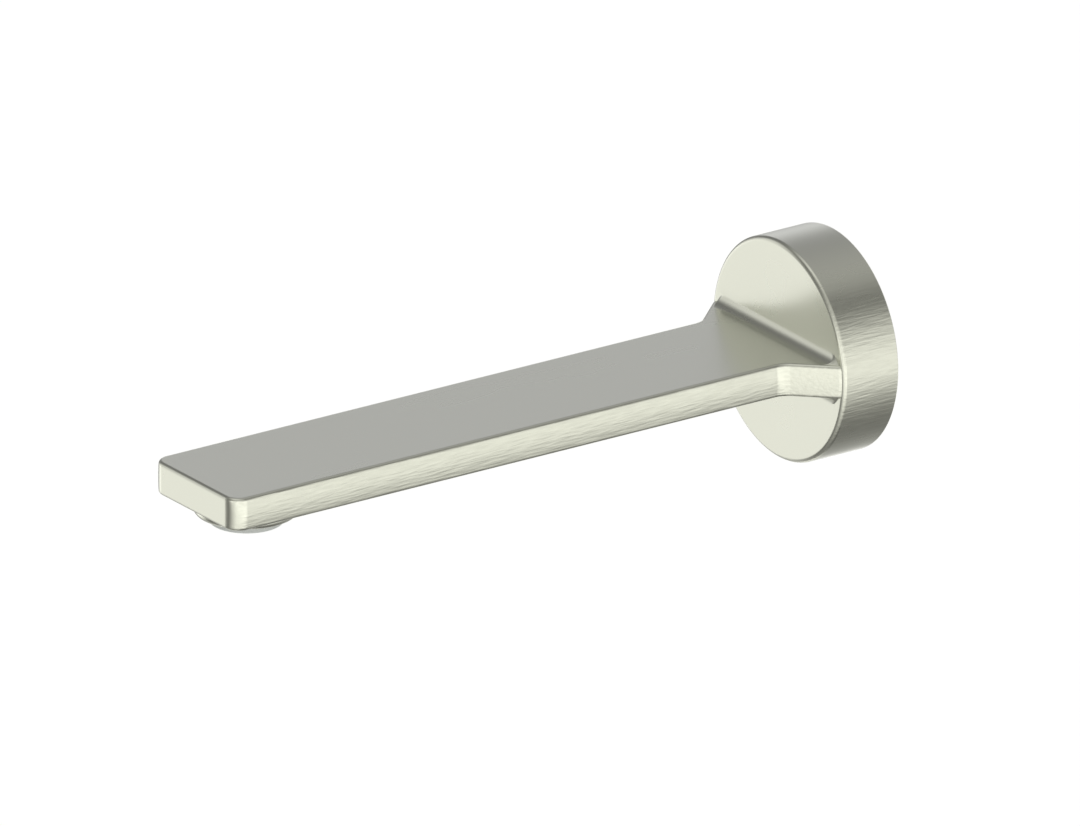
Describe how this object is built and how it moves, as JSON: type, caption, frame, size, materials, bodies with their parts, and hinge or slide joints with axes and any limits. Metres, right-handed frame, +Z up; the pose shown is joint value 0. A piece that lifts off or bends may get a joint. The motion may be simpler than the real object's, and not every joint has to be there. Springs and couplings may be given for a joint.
{
  "type": "wall mounted bath spout",
  "caption": "Fixed wall-mounted bath spout: a flat arm flaring into a round flange, with a screw-in aerator under the tip and a slip-on adaptor for the wall thread.",
  "frame": {"origin": "where the spout's axis meets the face of the wall: the centre of the flange's back", "axes": "+Y goes into the wall along the adaptor's thread, the arm runs to -Y, +Z is up and +X is to the right when the flange is seen from the tip"},
  "size_m": [0.066, 0.2335, 0.066],
  "materials": {
    "brushed_nickel": "brass plated with warm brushed nickel",
    "brass": "turned",
    "black_rubber": "moulded",
    "red_fibre": "vulcanised fibre, matt",
    "screw_steel": "stainless",
    "stainless_wire": "woven wire",
    "grey_plastic": "moulded, satin",
    "white_plastic": "moulded, satin"
  },
  "bodies": {
    "spout": {"inlet_adaptor": "brass", "front_oring": "black_rubber", "rear_oring": "black_rubber", "thread_washer": "red_fibre", "spout_body": "brushed_nickel", "waterway_plate": "brushed_nickel", "flange_seal": "black_rubber", "outlet_collar": "brushed_nickel"},
    "grub_screw": {"grub_screw": "screw_steel"},
    "gasket": {"aerator_gasket": "black_rubber"},
    "aerator": {"dome_strainer": "white_plastic", "jet_plate": "white_plastic", "mixing_sleeve": "white_plastic", "flow_spreader": "white_plastic", "upper_screen": "stainless_wire", "lower_screen": "stainless_wire", "outlet_grille": "grey_plastic", "aerator_housing": "grey_plastic"}
  },
  "joints": [
    {"name": "aerator_drop", "type": "slide", "parent": "spout", "child": "gasket", "axis": [0, 0, -1], "range_m": [0, 0.0055]},
    {"name": "aerator_turn", "type": "hinge", "parent": "gasket", "child": "aerator", "pos_m": [0, -0.202, -0.00885], "axis": [0, 0, -1], "range_deg": [0, 1980]},
    {"name": "grub_screw_travel", "type": "slide", "parent": "spout", "child": "grub_screw", "axis": [0, 0, -1], "range_m": [0, 0.0032]}
  ],
  "couplings": [
    {"joint": "aerator_drop", "follows": "aerator_turn", "m_per_rad": 0.00015915}
  ]
}
